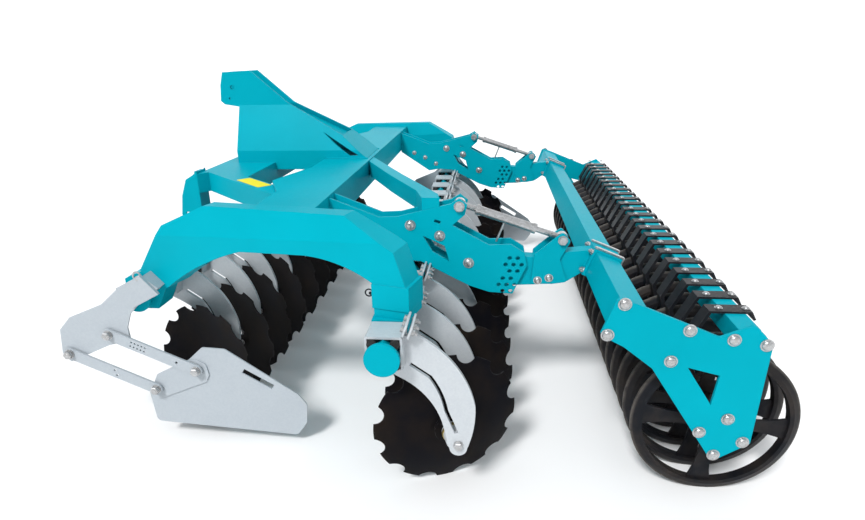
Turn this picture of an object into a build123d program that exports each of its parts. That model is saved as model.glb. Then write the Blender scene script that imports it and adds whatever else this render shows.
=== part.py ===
"""Mounted compact disc harrow with ring roller: two disc rows on sprung arms, frame, headstock, roller.

+X is the direction of travel, +Y the machine's left, +Z up, Z = 0 the ground. Millimetres.
The origin lies on the ground under the middle of the machine.
Points of side and plan outlines give X forward of the roller's axis.
"""
import os
from math import atan2, cos, degrees, hypot, radians, sin, sqrt, tan

from build123d import *

os.makedirs("parts", exist_ok=True)

# Places along the machine, measured from the roller's axis
roller_x = -1162.0
rear_gang = 1165.0
front_gang = 2270.0
rear_gang_x = roller_x + rear_gang
front_gang_x = roller_x + front_gang
gang_z = 650.0

# Discs
disc_radius = 280.0
disc_gauge = 6.0
disc_edge = 2.0
disc_bevel = 14.0
disc_dish = 46.0
disc_flat_radius = 80.0
disc_notches = 12
notch_radius = 40.0
notch_centre_radius = disc_radius + 10.0
disc_pitch = 250.0
disc_angle = 22.0
disc_tilt = 5.0
rear_row_discs = 12
front_row_discs = 11
rear_first_disc_y = 1465.0
front_first_disc_y = 1140.0
gang_ahead_of_disc = 187.0

# Hub between arm and disc
hub_arm_distance = 146.0
hub_radius = 38.0
hub_flange_radius = 62.0
hub_flange_depth = 10.0
hub_flange_gap = 6.0
spindle_radius = 20.0
spindle_depth = 45.0
spindle_clearance = 0.3

# Arms and their clamps on the gang beams
arm_beside_disc = hub_arm_distance * cos(radians(disc_angle)) * cos(radians(disc_tilt))
rear_first_arm_y = rear_first_disc_y + arm_beside_disc
rear_last_arm_y = rear_first_arm_y - (rear_row_discs - 1) * disc_pitch
front_first_arm_y = front_first_disc_y - arm_beside_disc
front_last_arm_y = front_first_arm_y - (front_row_discs - 1) * disc_pitch
clamp_inner = 110.0
clamp_wall = 8.0
clamp_width = 116.0
clamp_half = clamp_inner / 2 + clamp_wall
cord_clearance = 0.15
cord_overhang = 8.0
arm_gauge = 14.0
slit_width = 14.0

# Gang beams: square tube set on edge in rubber cords
gang_tube = 76.0
gang_cap_radius = 60.0
gang_cap_depth = 12.0
rear_gang_left = rear_first_arm_y + 100.0
rear_gang_right = rear_last_arm_y - 250.0
front_gang_left = front_first_arm_y + 255.0
front_gang_right = -rear_gang_left

# Side arches: boxes that carry the gang beams
arch_width = 120.0
arch_front_left_y = front_first_arm_y + 155.0
arch_rear_left_y = rear_first_arm_y - disc_pitch / 2
arch_front_right_y = front_last_arm_y + disc_pitch / 2
arch_rear_right_y = rear_last_arm_y - 150.0
arch_front_x = 2240.0
arch_rear_x = 1080.0
arch_leg = 128.0
arch_lean = 14.0
arch_fold = ((1130.0, 985.0), (2070.0, 926.0))
collar_z = 745.0
collar_height = 90.0
collar_gauge = 4.0

# Main frame
cross_rear_x = 1485.0
cross_front_x = 1745.0
cross_bottom = 900.0
cross_top = 1035.0
front_x = 2330.0
front_box_rear_x = 2030.0
diagonal_bottom = 915.0
diagonal_top = 1015.0
diagonal_width = 95.0
diagonal_angle = 43.0
diagonal_start_x = 2290.0

# Three-point hitch
hitch_y = 450.0
hitch_gauge = 15.0
hitch_gap = 70.0
hitch_pin = (2410.0, 800.0)
hitch_bore = 14.25
tower_top = 1505.0
tower_gauge = 15.0
tower_gap = 90.0
tower_waist_z = 1320.0
tower_fold_z = 1080.0
tower_foot_z = 975.0
tower_spread = 0.45
top_link_pin = (2275.0, tower_top - 88.0)
top_link_bore = 12.75

# Arms that carry the roller
support_y = 1000.0
cheek_gauge = 12.0
cheek_gap = 72.0
link_side_clearance = 5.5
link_pivot = (910.0, 750.0)
link_pin_radius = 15.0
turnbuckle_front = (948.0, 994.0)
turnbuckle_rear = (527.0, 853.0)
eye_pin_radius = 12.0
eye_outer_radius = 24.0
eye_width = 30.0
lug_radius = 32.0
ear_plate_gauge = 10.0
depth_hole_radius = 9.0
depth_hole_circle = 33.0
pin_clearance = 0.3

# Turnbuckles
barrel_radius = 19.0
barrel_collar_radius = 22.0
barrel_collar_length = 16.0
barrel_start = 70.0
barrel_end = 330.0
rod_radius = 12.0
handle_radius = 4.5
handle_at = 200.0
handle_drop = (38.0, -98.0)

# Roller
ring_radius = 296.0
ring_rim_depth = 40.0
ring_rim_width = 34.0
ring_crest_width = 10.0
ring_count = 24
ring_pitch = 125.0
spoke_count = 4
spoke_gauge = 10.0
spoke_half_widths = (34.0, 24.0, 46.0)
shaft_radius = 45.0
shaft_overhang = 30.0
bearing_radius = 62.0
bearing_depth = 34.0
bearing_gap = 26.5
stub_radius = 25.0
roller_plate_gauge = 12.0
ring_row_end = (ring_count - 1) * ring_pitch / 2
plate_inner_y = ring_row_end + shaft_overhang + bearing_gap + bearing_depth

# Roller frame beams
roller_beam = 100.0
roller_beam_centre = (367.0, 746.0)
roller_beam_tilt = 22.5
saddle_wall = 10.0
saddle_width = 120.0
scraper_beam = 70.0
scraper_beam_centre = (-27.0, 676.0)
scraper_width = 60.0
scraper_gauge = 8.0

# Side deflectors on parallel links
deflector_gauge = 6.0
deflector_link_gauge = 8.0
deflector_link_width = 50.0
deflector_pin_radius = 10.0
channel_step = 14.0
bush_gap = 5.5
left_bracket_y = front_gang_left + 40.0
right_bracket_y = -rear_gang_right + 50.0


def fore(x):
    """A place along X given from the roller's axis."""
    return x + roller_x


def place(point):
    """A point of a side outline, given from the roller's axis and the ground."""
    return (fore(point[0]), point[1])


def side_plane(y_high):
    """A drawing plane seen from the left: local x is forward, local y is up, extrusions go right."""
    return Plane.XZ.offset(-y_high)


def slab(outline, y_low, gauge, holes=(), windows=(), corner=0.0):
    """A flat plate drawn in side view: outline, low face, gauge, round holes, windows, corner radius."""
    with BuildPart() as plate:
        with BuildSketch(side_plane(y_low + gauge)):
            with BuildLine():
                if corner:
                    FilletPolyline(*[place(p) for p in outline], radius=corner, close=True)
                else:
                    Polyline(*[place(p) for p in outline], close=True)
            make_face()
            for x, z, radius in holes:
                with Locations(place((x, z))):
                    Circle(radius, mode=Mode.SUBTRACT)
            for window in windows:
                with BuildLine():
                    Polyline(*[place(p) for p in window], close=True)
                make_face(mode=Mode.SUBTRACT)
        extrude(amount=gauge)
    return plate.part


def pin_y(x, z, radius, y_low, y_high):
    """A round bar across the machine."""
    with BuildPart() as bar:
        with BuildSketch(side_plane(y_high)):
            with Locations(place((x, z))):
                Circle(radius)
        extrude(amount=y_high - y_low)
    return bar.part


def plan_box(points, z_low, z_high):
    """A closed box drawn in plan view."""
    with BuildPart() as box:
        with BuildSketch(Plane.XY.offset(z_low)):
            with BuildLine():
                Polyline(*[(fore(x), y) for x, y in points], close=True)
            make_face()
        extrude(amount=z_high - z_low)
    return box.part


def gathered(parts):
    """Like pieces of one body, side by side in one node."""
    return Compound(children=list(parts))


def finish(part, label):
    """Name a finished piece and write it."""
    part.label = label
    export_step(part, f"parts/{label}.step")


def gang_beam(x, y_left, y_right):
    """A square tube set on edge, closed by a round cap at each end."""
    with BuildPart() as beam:
        with BuildSketch(side_plane(y_left - gang_cap_depth)):
            with Locations((x, gang_z)):
                Rectangle(gang_tube, gang_tube, rotation=45)
        extrude(amount=(y_left - y_right) - 2 * gang_cap_depth)
        for y_high in (y_left, y_right + gang_cap_depth):
            with BuildSketch(side_plane(y_high)):
                with Locations((x, gang_z)):
                    Circle(gang_cap_radius)
            extrude(amount=gang_cap_depth)
    return beam.part


class DiscStation:
    """One disc with its arm: which way it faces, where its centre is and where its arm stands."""

    def __init__(self, gang_x, disc_y, side):
        self.side = side
        self.gang_x = gang_x
        a = radians(disc_angle)
        t = radians(disc_tilt)
        self.normal = Vector(-sin(a) * cos(t), side * cos(a) * cos(t), -sin(t))
        self.centre = Vector(gang_x - gang_ahead_of_disc, disc_y, disc_radius * cos(t) + disc_edge * sin(t))
        self.hub_end = self.centre + self.normal * hub_arm_distance
        self.arm_y = self.hub_end.Y

    def plane(self, distance=0.0):
        """The plane across the disc's axis, at a distance from the rim towards the arm."""
        across = Vector(0, 0, 1).cross(self.normal).normalized()
        return Plane(origin=self.centre + self.normal * distance, x_dir=across, z_dir=self.normal)


rear_row = [
    DiscStation(rear_gang_x, rear_first_disc_y - i * disc_pitch, 1) for i in range(rear_row_discs)
]
front_row = [
    DiscStation(front_gang_x, front_first_disc_y - i * disc_pitch, -1) for i in range(front_row_discs)
]


def disc(station):
    """A dished disc with a bevelled, notched rim, its turning flange and the stub that runs in the hub."""
    rim = station.plane()
    section = Plane(origin=rim.origin, x_dir=rim.x_dir, z_dir=rim.x_dir.cross(rim.z_dir))
    crown = disc_dish + disc_gauge
    flange_top = crown + hub_flange_depth
    stub_end = flange_top + hub_flange_gap + spindle_depth
    mid_r = (disc_radius + disc_flat_radius) / 2
    sag = disc_dish * 0.62
    with BuildPart() as blade:
        with BuildSketch(section):
            with BuildLine():
                inner_edge = Line((0, disc_dish), (disc_flat_radius, disc_dish))
                inner_arc = ThreePointArc(inner_edge @ 1, (mid_r, sag), (disc_radius, 0))
                rim_edge = Line(inner_arc @ 1, (disc_radius, disc_edge))
                bevel = Line(rim_edge @ 1, (disc_radius - disc_bevel, disc_gauge + disc_edge))
                outer_arc = ThreePointArc(bevel @ 1, (mid_r, sag + disc_gauge), (disc_flat_radius, crown))
                Polyline(
                    outer_arc @ 1,
                    (hub_flange_radius, crown),
                    (hub_flange_radius, flange_top),
                    (spindle_radius, flange_top),
                    (spindle_radius, stub_end),
                    (0, stub_end),
                    inner_edge @ 0,
                )
            make_face()
        revolve(axis=Axis(rim.origin, rim.z_dir))
        with BuildSketch(rim):
            with PolarLocations(notch_centre_radius, disc_notches, start_angle=15):
                Circle(notch_radius)
        extrude(amount=disc_dish, both=True, mode=Mode.SUBTRACT)
    return blade.part


def hub(station):
    """The fixed bearing housing, from the turning flange to the inner face of the arm."""
    start = disc_dish + disc_gauge + hub_flange_depth + hub_flange_gap
    face_y = station.arm_y - station.side * arm_gauge / 2
    with BuildPart() as housing:
        with BuildSketch(station.plane(start)):
            Circle(hub_radius)
        extrude(amount=hub_arm_distance)
        with BuildSketch(station.plane(start)):
            Circle(spindle_radius + spindle_clearance)
        extrude(amount=spindle_depth + hub_flange_gap, mode=Mode.SUBTRACT)
        keep = Keep.BOTTOM if station.side > 0 else Keep.TOP
        split(bisect_by=Plane(origin=(0, face_y, 0), z_dir=(0, 1, 0)), keep=keep)
    return housing.part


def arm(station):
    """The curved arm from the clamp's rear and under side down to the hub, slit along its middle."""

    def from_gang(dx, dz):
        return (station.gang_x + dx, gang_z + dz)

    def from_hub(dx, dz):
        return (station.hub_end.X + dx, station.hub_end.Z + dz)

    root = -clamp_half
    with BuildPart() as blade:
        with BuildSketch(side_plane(station.arm_y + arm_gauge / 2)):
            with BuildLine():
                face = Polyline(from_gang(root, root), from_gang(root, 44), from_gang(-96, 50))
                back = ThreePointArc(face @ 1, from_gang(-222, -50), from_hub(-60, 157))
                heel = ThreePointArc(back @ 1, from_hub(-58, 98), from_hub(-31, -15))
                toe = ThreePointArc(heel @ 1, from_hub(0, -45), from_hub(30, -25))
                shin = Line(toe @ 1, from_hub(52, 74))
                hollow = ThreePointArc(shin @ 1, from_gang(-135, -192), from_gang(-60, -125))
                Polyline(hollow @ 1, from_gang(-10, -97), from_gang(-10, root), face @ 0)
            make_face()
            with BuildLine() as slit:
                first = Line(from_gang(root - 16, -62), from_gang(-147, -110))
                bend = ThreePointArc(first @ 1, from_gang(-176, -161), from_gang(-200, -242))
                Line(bend @ 1, from_hub(6, 50))
            trace(slit.line, slit_width, mode=Mode.SUBTRACT)
        extrude(amount=arm_gauge)
    return blade.part


def clamp(station):
    """The square clamp round the gang beam."""
    with BuildPart() as shell:
        with BuildSketch(side_plane(station.arm_y + clamp_width / 2)):
            with Locations((station.gang_x, gang_z)):
                RectangleRounded(2 * clamp_half, 2 * clamp_half, clamp_wall)
                Rectangle(clamp_inner, clamp_inner, mode=Mode.SUBTRACT)
        extrude(amount=clamp_width)
    return shell.part


cord_share = (clamp_inner / 2 - gang_tube / 2 / sqrt(2)) / (1 + 1 / sqrt(2))
cord_radius = cord_share - cord_clearance
cord_offset = (gang_tube / 2 + cord_share) / sqrt(2)
cord_length = clamp_width + 2 * cord_overhang


def cords(station):
    """The four rubber cords between tube and clamp."""
    with BuildPart() as rubber:
        with BuildSketch(side_plane(station.arm_y + cord_length / 2)):
            with Locations((station.gang_x, gang_z)):
                with GridLocations(2 * cord_offset, 2 * cord_offset, 2, 2):
                    Circle(cord_radius)
        extrude(amount=cord_length)
    return rubber.part


finish(gang_beam(rear_gang_x, rear_gang_left, rear_gang_right), "rear_gang_beam")
finish(gang_beam(front_gang_x, front_gang_left, front_gang_right), "front_gang_beam")

for row_name, row in (("rear", rear_row), ("front", front_row)):
    first_disc = disc(row[0])
    for number in range(len(row)):
        placed = first_disc.moved(Location((0, -number * disc_pitch, 0)))
        finish(placed, f"{row_name}_disc_{number + 1:02d}")
    with BuildPart() as hubbed_arm:
        add(arm(row[0]))
        add(hub(row[0]))
    steps = [Location((0, -number * disc_pitch, 0)) for number in range(len(row))]
    finish(gathered(hubbed_arm.part.moved(step) for step in steps), f"{row_name}_disc_arms")
    row_clamp = clamp(row[0])
    finish(gathered(row_clamp.moved(step) for step in steps), f"{row_name}_arm_clamps")
finish(gathered(cords(s) for s in rear_row + front_row), "rubber_cords")


def arch(y_front, y_rear):
    """A box beam bent over the discs, its upper sides leaning inwards from a fold line."""
    leg_foot = gang_z + clamp_half
    leg_front = arch_rear_x + arch_leg
    heading = Vector(arch_front_x - arch_rear_x, y_front - y_rear, 0).normalized()
    start = Vector(fore(arch_rear_x), y_rear, 0)
    across = Plane(origin=start, x_dir=heading, z_dir=heading.cross(Vector(0, 0, 1)))

    def along(x, z):
        return ((x - arch_rear_x) / heading.X, z)

    with BuildPart() as beam:
        with BuildSketch(across.offset(-arch_width / 2)):
            with BuildLine():
                crown = Polyline(
                    along(2110, 700), along(2158, 684), along(arch_front_x, 760), along(2098, 962),
                    along(1898, 1052), along(1311, 1064), along(1128, 955), along(arch_rear_x, 810),
                    along(arch_rear_x, leg_foot), along(leg_front, leg_foot), along(leg_front, 835))
                knee = ThreePointArc(crown @ 1, along(1300, 880), along(1475, 909))
                belly = Line(knee @ 1, along(1740, 893))
                ThreePointArc(belly @ 1, along(1950, 805), crown @ 0)
            make_face()
        extrude(amount=arch_width)
        low, high = (across.from_local_coords(along(*point)) for point in arch_fold)
        rising = across.z_dir.cross((high - low).normalized())
        for side in (1, -1):
            outwards = across.z_dir * side
            normal = outwards * cos(radians(arch_lean)) + rising * sin(radians(arch_lean))
            split(bisect_by=Plane(origin=low + outwards * arch_width / 2, z_dir=normal), keep=Keep.BOTTOM)
        collar_start = along(arch_rear_x - collar_gauge, collar_z)
        collar_end = along(leg_front + collar_gauge, collar_z)
        with BuildSketch(across.offset(-arch_width / 2 - collar_gauge)):
            with Locations(collar_start):
                Rectangle(collar_end[0] - collar_start[0], collar_height, align=(Align.MIN, Align.MIN))
        extrude(amount=arch_width + 2 * collar_gauge)
    return beam.part


side_arches = {
    "left": arch(arch_front_left_y, arch_rear_left_y),
    "right": arch(arch_front_right_y, arch_rear_right_y),
}
for side, beam in side_arches.items():
    finish(beam, f"side_arch_{side}")


def gang_seat(x, y, outline):
    """A block under an arch's leg that takes the square tube."""
    with BuildPart() as seat:
        with BuildSketch(side_plane(y + arch_width / 2 - 5)):
            with BuildLine():
                Polyline(*[(x + dx, gang_z + dz) for dx, dz in outline], close=True)
            make_face()
            with Locations((x, gang_z)):
                Rectangle(gang_tube, gang_tube, rotation=45, mode=Mode.SUBTRACT)
        extrude(amount=arch_width - 10)
    return seat.part


rear_seat = [
    (-clamp_half, -clamp_half), (clamp_half, -clamp_half), (clamp_half, clamp_half),
    (-clamp_half, clamp_half),
]
front_seat = [(-clamp_half, -clamp_half), (clamp_half, -clamp_half), (clamp_half, 70), (-30, 110), (-112, 34)]
seats = [
    gang_seat(rear_gang_x, arch_rear_left_y, rear_seat),
    gang_seat(rear_gang_x, arch_rear_right_y, rear_seat),
]
for side, y in (("left", arch_front_left_y), ("right", arch_front_right_y)):
    with BuildPart() as seat:
        add(gang_seat(front_gang_x, y, front_seat))
        add(side_arches[side], mode=Mode.SUBTRACT)
    seats.append(seat.part.solids().sort_by(SortBy.VOLUME)[-1])
finish(gathered(seats), "gang_seats")


def arch_middle_y(side, x):
    """Where the middle of an arch stands at a place along the machine."""
    if side > 0:
        y_front, y_rear = arch_front_left_y, arch_rear_left_y
    else:
        y_front, y_rear = arch_front_right_y, arch_rear_right_y
    return y_rear + (x - arch_rear_x) * (y_front - y_rear) / (arch_front_x - arch_rear_x)


def diagonal_y(x, across=0.0):
    """The outer edge of the left diagonal in plan, or a line inside it."""
    run = (diagonal_start_x - x) * tan(radians(diagonal_angle))
    return hitch_y + run - across / cos(radians(diagonal_angle))


cross_wing_x = 1835.0
cross_wing_y = diagonal_y(cross_wing_x, diagonal_width)
cross_shoulder_x = 1735.0
with BuildPart() as cross_beam:
    with BuildSketch(Plane.XY.offset(cross_bottom)):
        with BuildLine():
            back_edge = Line(
                (fore(cross_rear_x), arch_middle_y(-1, cross_rear_x)),
                (fore(cross_rear_x), arch_middle_y(1, cross_rear_x)))
            left_edge = Polyline(
                back_edge @ 1,
                (fore(cross_shoulder_x), arch_middle_y(1, cross_shoulder_x)),
                (fore(cross_shoulder_x), diagonal_y(cross_shoulder_x)),
                (fore(cross_wing_x), cross_wing_y))
            left_curve = ThreePointArc(left_edge @ 1, (fore(1797), 600), (fore(cross_front_x), 420))
            front_edge = Line(left_curve @ 1, (fore(cross_front_x), -420))
            right_curve = ThreePointArc(front_edge @ 1, (fore(1797), -600), (fore(cross_wing_x), -cross_wing_y))
            Polyline(
                right_curve @ 1,
                (fore(cross_shoulder_x), -diagonal_y(cross_shoulder_x)),
                (fore(cross_shoulder_x), arch_middle_y(-1, cross_shoulder_x)),
                back_edge @ 0)
        make_face()
    extrude(amount=cross_top - cross_bottom)
    for beam in side_arches.values():
        add(beam, mode=Mode.SUBTRACT)
finish(cross_beam.part, "main_cross_beam")


def diagonal(side):
    """A square tube from the lower hitch point back to the cross beam."""
    outer_front = hitch_y + hitch_gap / 2 + hitch_gauge
    plan = [
        (front_x, outer_front), (diagonal_start_x, diagonal_y(diagonal_start_x)),
        (cross_rear_x, diagonal_y(cross_rear_x)), (cross_rear_x, diagonal_y(cross_rear_x, diagonal_width)),
        (front_x, diagonal_y(front_x, diagonal_width)),
    ]
    with BuildPart() as tube:
        add(plan_box([(x, side * y) for x, y in plan], diagonal_bottom, diagonal_top))
        add(cross_beam.part, mode=Mode.SUBTRACT)
        for beam in side_arches.values():
            add(beam, mode=Mode.SUBTRACT)
    return tube.part.solids().sort_by(Axis.X)[-1]


diagonals = [diagonal(1), diagonal(-1)]
finish(gathered(diagonals), "front_diagonals")


def hitch_cheek(y_low):
    """A plate of a lower hitch clevis."""
    outline = [
        (front_x, 1030), (2352, 1010), (2395, 985), (2428, 900), (2445, 800), (2430, 758), (2370, 750),
        (front_x, 800),
    ]
    return slab(outline, y_low, hitch_gauge, holes=[(*hitch_pin, hitch_bore)])


hitch_plates = []
for side in (1, -1):
    for offset in (-hitch_gap / 2 - hitch_gauge, hitch_gap / 2):
        hitch_plates.append(hitch_cheek(side * hitch_y + offset))
    hitch_plates.append(plan_box(
        [(front_x, side * hitch_y - hitch_gap / 2), (front_x + 20, side * hitch_y - hitch_gap / 2),
         (front_x + 20, side * hitch_y + hitch_gap / 2), (front_x, side * hitch_y + hitch_gap / 2)], 800, 1025))
finish(gathered(hitch_plates), "lower_hitch_brackets")

# Headstock: two plates folded outwards at the waist and down again above the foot
tower_foot_half = tower_gap / 2 + (tower_waist_z - tower_fold_z) * tower_spread
tower_outline = [
    (2163, tower_top), (1965, 1330), (1648, 1160), (1490, 1022), (1760, tower_foot_z), (2247, tower_foot_z),
    (2247, 1312), (2330, 1325), (2352, 1344), (2343, 1431), (2324, tower_top - 6),
]
tower_slit = [(1755, 1176), (1553, 1053), (1600, 1050), (1680, 1110)]
latch_hole = (2297.0, top_link_pin[1] - 60.0, 6.0)


def between_plates(grown):
    """The room between the tower's plates, or with their gauge added all inside their outer faces."""
    half_profile = [
        (tower_gap / 2 + grown, tower_top + 10), (tower_gap / 2 + grown, tower_waist_z),
        (tower_foot_half + grown, tower_fold_z), (tower_foot_half + grown, tower_foot_z - 10),
    ]
    mirrored = [(-y, z) for y, z in reversed(half_profile)]
    with BuildPart() as room:
        with BuildSketch(Plane.YZ.offset(fore(cross_rear_x))):
            with BuildLine():
                Polyline(*half_profile, *mirrored, close=True)
            make_face()
        extrude(amount=front_x - cross_rear_x + 50)
    return room.part


reach = 2 * (tower_foot_half + tower_gauge)
with BuildPart() as headstock:
    add(slab(tower_outline, -reach / 2, reach, holes=[(*top_link_pin, top_link_bore), latch_hole],
             windows=[tower_slit]))
    add(between_plates(tower_gauge), mode=Mode.INTERSECT)
    add(between_plates(0), mode=Mode.SUBTRACT)
    front_half = diagonal_y(front_x, diagonal_width)
    rear_half = diagonal_y(front_box_rear_x, diagonal_width)
    add(plan_box([(front_x, front_half), (front_x, -front_half), (front_box_rear_x, -rear_half),
                  (front_box_rear_x, rear_half)], diagonal_bottom, diagonal_top))
    add(cross_beam.part, mode=Mode.SUBTRACT)
finish(headstock.part, "headstock")

# The closing plate lies below the tower's rear edge and comes up to it over the foot
web_outline = [
    (2180, tower_top - 19), (1979, 1308), (1660, 1138), (1648, 1160), (1505, cross_top), (1523, cross_top),
    (1640, 1138), (1652, 1122), (1986, 1299), (2188, tower_top - 28),
]
with BuildPart() as strut:
    add(slab(web_outline, -reach / 2, reach))
    add(between_plates(0), mode=Mode.INTERSECT)
finish(strut.part, "headstock_strut")

cheek_outline = [
    (cross_rear_x, 1026), (1281, 946), (1200, 950), (1106, 974), (985, 1004), (948, 994 + lug_radius),
    (948 - lug_radius, 1000), (925, 960), (976, 914), (825, 831), (736, 835), (680, 800), (668, 745),
    (725, 617), (822, 623), (908, 651), (994, 695), (1110, 757), (1207, 762), (1280, 750),
    (cross_rear_x, 888),
]
cheek_windows = [
    [(1098, 868), (1010, 826), (990, 757), (1060, 800)],
    [(1048, 940), (1024, 931), (1028, 919), (1052, 928)],
]
bolt_cluster = [(0, 0)] + [
    (depth_hole_circle * cos(radians(60 * k)), depth_hole_circle * sin(radians(60 * k))) for k in range(6)
]
cheek_holes = [(*link_pivot, link_pin_radius), (*turnbuckle_front, eye_pin_radius)]
for centre in ((723, 747), (750, 657)):
    cheek_holes += [(centre[0] + dx, centre[1] + dz, depth_hole_radius) for dx, dz in bolt_cluster]


def support_cheeks(side):
    """The two cheeks of a roller arm, behind the cross beam."""
    low = side * support_y - cheek_gap / 2
    return [
        slab(cheek_outline, y_low, cheek_gauge, holes=cheek_holes, windows=cheek_windows)
        for y_low in (low - cheek_gauge, low + cheek_gap)
    ]


def cheek_box(side):
    """The box that ties two cheeks and carries them on the cross beam."""
    outline = [(cross_rear_x, 1000), (1281, 930), (1125, 930), (1125, 785), (1281, 775), (cross_rear_x, 908)]
    return slab(outline, side * support_y - cheek_gap / 2, cheek_gap)


all_cheeks = []
all_boxes = []
for side in (1, -1):
    low = side * support_y - cheek_gap / 2 - cheek_gauge
    high = side * support_y + cheek_gap / 2 + cheek_gauge
    with BuildPart() as pair:
        for cheek in support_cheeks(side):
            add(cheek)
        add(pin_y(*link_pivot, link_pin_radius, low, high))
        add(pin_y(*turnbuckle_front, eye_pin_radius, low, high))
    all_cheeks.append(pair.part)
    all_boxes.append(cheek_box(side))
finish(gathered(all_cheeks), "support_cheeks")

outer_cheek_y = support_y + cheek_gap / 2 + cheek_gauge
brace_plan = [
    (cross_rear_x, 85), (1251, 569), (1040, 980), (1028, outer_cheek_y), (1100, outer_cheek_y), (1140, 915),
    (1301, 602), (cross_rear_x, 215),
]
with BuildPart() as brace:
    add(plan_box(brace_plan, 950, 1030))
    for piece in all_cheeks[:1] + all_boxes[:1]:
        add(piece, mode=Mode.SUBTRACT)
all_boxes.append(brace.part.solids().sort_by(SortBy.VOLUME)[-1])
finish(gathered(all_boxes), "support_boxes")

# Roller frame
u = Vector(cos(radians(roller_beam_tilt)), 0, sin(radians(roller_beam_tilt)))
v = Vector(-u.Z, 0, u.X)


def tilted(point, du, dv):
    """A point moved along the roller beam's own slanted axes."""
    return (point[0] + du * u.X + dv * v.X, point[1] + du * u.Z + dv * v.Z)


half = roller_beam / 2
beam_corners = [
    tilted(roller_beam_centre, du, dv)
    for du, dv in ((half, half), (-half, half), (-half, -half), (half, -half))
]
finish(slab(beam_corners, -plate_inner_y, 2 * plate_inner_y), "roller_beam")
plate_outline = [
    (405, 817), (340, 798), (66, 686), (-37, 732), (-72, 699), (-103, 661), (-91, 277), (14, 205), (47, 224),
    (271, 563), (371, 641), (452, 683),
]
plate_window = [(154, 570), (47, 543), (61, 428)]
finish(gathered(
    slab(plate_outline, y_low, roller_plate_gauge, windows=[plate_window], corner=12.0)
    for y_low in (plate_inner_y, -plate_inner_y - roller_plate_gauge)), "roller_side_plates")


def bearing(side):
    """A roller bearing housing on the inner face of a side plate."""
    face = side * plate_inner_y
    low, high = sorted((face, face - side * bearing_depth))
    with BuildPart() as housing:
        add(pin_y(0, ring_radius, bearing_radius, low, high))
        add(pin_y(0, ring_radius, stub_radius + pin_clearance, low, high), mode=Mode.SUBTRACT)
    return housing.part


finish(gathered([bearing(1), bearing(-1)]), "roller_bearings")
sh = scraper_beam / 2
scraper_corners = [
    (scraper_beam_centre[0] + dx, scraper_beam_centre[1] + dz)
    for dx, dz in ((sh, sh), (-sh, sh), (-sh, -sh), (sh, -sh))
]
finish(slab(scraper_corners, -plate_inner_y, 2 * plate_inner_y), "scraper_beam")

link_width = cheek_gap - 2 * link_side_clearance
link_outline = [
    (945, 770), (935, 720), (719, 650), (620, 655), (500, 672), tilted(roller_beam_centre, half, -half),
    tilted(roller_beam_centre, half, half), (500, 800), (640, 775), (900, 790),
]
ear_outline = [(650, 660), (560, 662), (500, 672), (535, 770), (495, 850), (527, 885), (560, 860), (640, 790)]
saddled_links = []
ears = []
for side in (1, -1):
    link_low = side * support_y - link_width / 2
    grown = half + saddle_wall
    with BuildPart() as saddled_link:
        with BuildSketch(side_plane(side * support_y + saddle_width / 2)):
            with Locations(place(roller_beam_centre)):
                Rectangle(2 * grown, 2 * grown, rotation=roller_beam_tilt)
                Rectangle(2 * half, 2 * half, rotation=roller_beam_tilt, mode=Mode.SUBTRACT)
        extrude(amount=saddle_width)
        add(slab(link_outline, link_low, link_width, holes=[(*link_pivot, link_pin_radius + pin_clearance)]))
    saddled_links.append(saddled_link.part)
    low = link_low - ear_plate_gauge
    high = link_low + link_width + ear_plate_gauge
    with BuildPart() as ear_pair:
        add(slab(ear_outline, low, ear_plate_gauge, corner=10.0))
        add(slab(ear_outline, high - ear_plate_gauge, ear_plate_gauge, corner=10.0))
        add(pin_y(*turnbuckle_rear, eye_pin_radius, low, high))
    ears.append(ear_pair.part)
finish(gathered(saddled_links), "roller_link_arms")
finish(gathered(ears), "roller_arm_ears")

ring_ys = [ring_row_end - i * ring_pitch for i in range(ring_count)]
beam_top = scraper_beam_centre[1] + sh
scraper_path = [
    (-100, beam_top - 22), (-84, beam_top + scraper_gauge), (60, beam_top + scraper_gauge), (115, 610),
    (75, 470), (66, 474), (100, 610), (52, beam_top), (-76, beam_top), (-92, beam_top - 25),
]
finish(gathered(
    slab(scraper_path, y - ring_pitch / 2 - scraper_width / 2, scraper_width)
    for y in ring_ys[:-1]), "scrapers")

rim_inner = ring_radius - ring_rim_depth
spoke_start = shaft_radius - 5
spoke_end = rim_inner + 6
spoke_middle = (spoke_start + spoke_end) / 2
root_half, waist_half, tip_half = spoke_half_widths
with BuildSketch() as spoke:
    with BuildLine():
        root_edge = Line((spoke_start, -root_half), (spoke_start, root_half))
        upper = ThreePointArc(root_edge @ 1, (spoke_middle, waist_half), (spoke_end, tip_half))
        tip_edge = Line(upper @ 1, (spoke_end, -tip_half))
        ThreePointArc(tip_edge @ 1, (spoke_middle, -waist_half), root_edge @ 0)
    make_face()
with BuildPart() as ring:
    with BuildSketch(Plane.XY):
        with BuildLine():
            Polyline(
                (rim_inner, -ring_rim_width / 2), (rim_inner, ring_rim_width / 2),
                (rim_inner + 15, ring_rim_width / 2), (ring_radius, ring_crest_width / 2),
                (ring_radius, -ring_crest_width / 2), (rim_inner + 15, -ring_rim_width / 2), close=True)
        make_face()
    revolve(axis=Axis.Y)
    with BuildSketch(side_plane(spoke_gauge / 2)):
        with PolarLocations(0, spoke_count, start_angle=5):
            add(spoke.sketch)
    extrude(amount=spoke_gauge)
with BuildPart() as ring_roller:
    add(pin_y(0, ring_radius, shaft_radius, -ring_row_end - shaft_overhang, ring_row_end + shaft_overhang))
    add(pin_y(0, ring_radius, stub_radius, -plate_inner_y, plate_inner_y))
    with Locations(*[(fore(0), y, ring_radius) for y in ring_ys]):
        add(ring.part)
finish(ring_roller.part, "ring_roller")

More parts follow.
